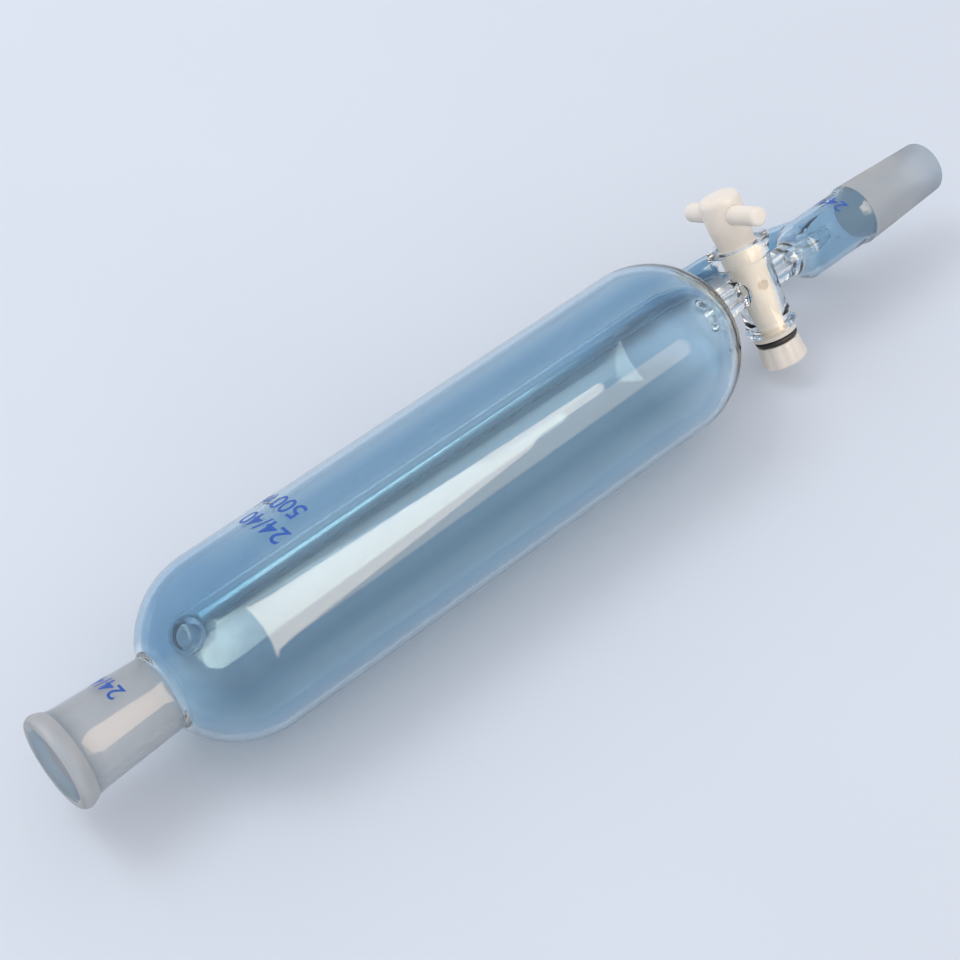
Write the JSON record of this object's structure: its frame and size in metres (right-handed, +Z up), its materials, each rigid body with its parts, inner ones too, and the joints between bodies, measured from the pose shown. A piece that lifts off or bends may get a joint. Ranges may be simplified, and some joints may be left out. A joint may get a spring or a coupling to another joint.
{
  "type": "separatory funnel",
  "caption": "Pressure-equalising glass addition funnel: cylinder with socket joint, side arm, PTFE stopcock and cone joint, lying on its side.",
  "frame": {"origin": "middle of the bounding box's bottom, on the surface that the funnel lies on", "axes": "+X from the socket joint (mouth) to the cone joint (tip), +Z up as it lies on its reservoir and side arm, +Y towards the side arm"},
  "size_m": [0.4046, 0.0725, 0.0724],
  "materials": {
    "clear_glass": "clear borosilicate glass, fire-polished",
    "ground_glass": "borosilicate glass, ground matt on its joint face",
    "ptfe": "cream white PTFE, satin, faint turning marks",
    "black_rubber": "black rubber, satin"
  },
  "bodies": {
    "glass_body": {"upper_joint": "ground_glass", "reservoir": "clear_glass", "side_arm": "clear_glass", "inlet_arm": "clear_glass", "stopcock_barrel": "clear_glass", "outlet_arm": "clear_glass", "drip_tube": "clear_glass", "drip_chamber": "clear_glass", "lower_joint": "ground_glass"},
    "plug": {"stopcock_plug": "ptfe", "handle_bar": "ptfe"},
    "seal_stack": {"plug_washer": "ptfe", "seal_ring": "black_rubber"},
    "nut": {"plug_nut": "ptfe"}
  },
  "joints": [
    {"name": "plug_turn", "type": "hinge", "parent": "glass_body", "child": "plug", "pos_m": [0.10785, -0.00384, 0.0325], "axis": [0, 0.6167, 0.7872], "continuous": true},
    {"name": "seal_slide", "type": "slide", "parent": "plug", "child": "seal_stack", "axis": [0, -0.6167, -0.7872], "range_m": [0, 0.00187]},
    {"name": "nut_turn", "type": "hinge", "parent": "seal_stack", "child": "nut", "pos_m": [0.10785, -0.00384, 0.0325], "axis": [0, -0.6167, -0.7872], "range_deg": [0, 540]}
  ],
  "couplings": [
    {"joint": "seal_slide", "follows": "nut_turn", "m_per_rad": 0.00019894}
  ]
}
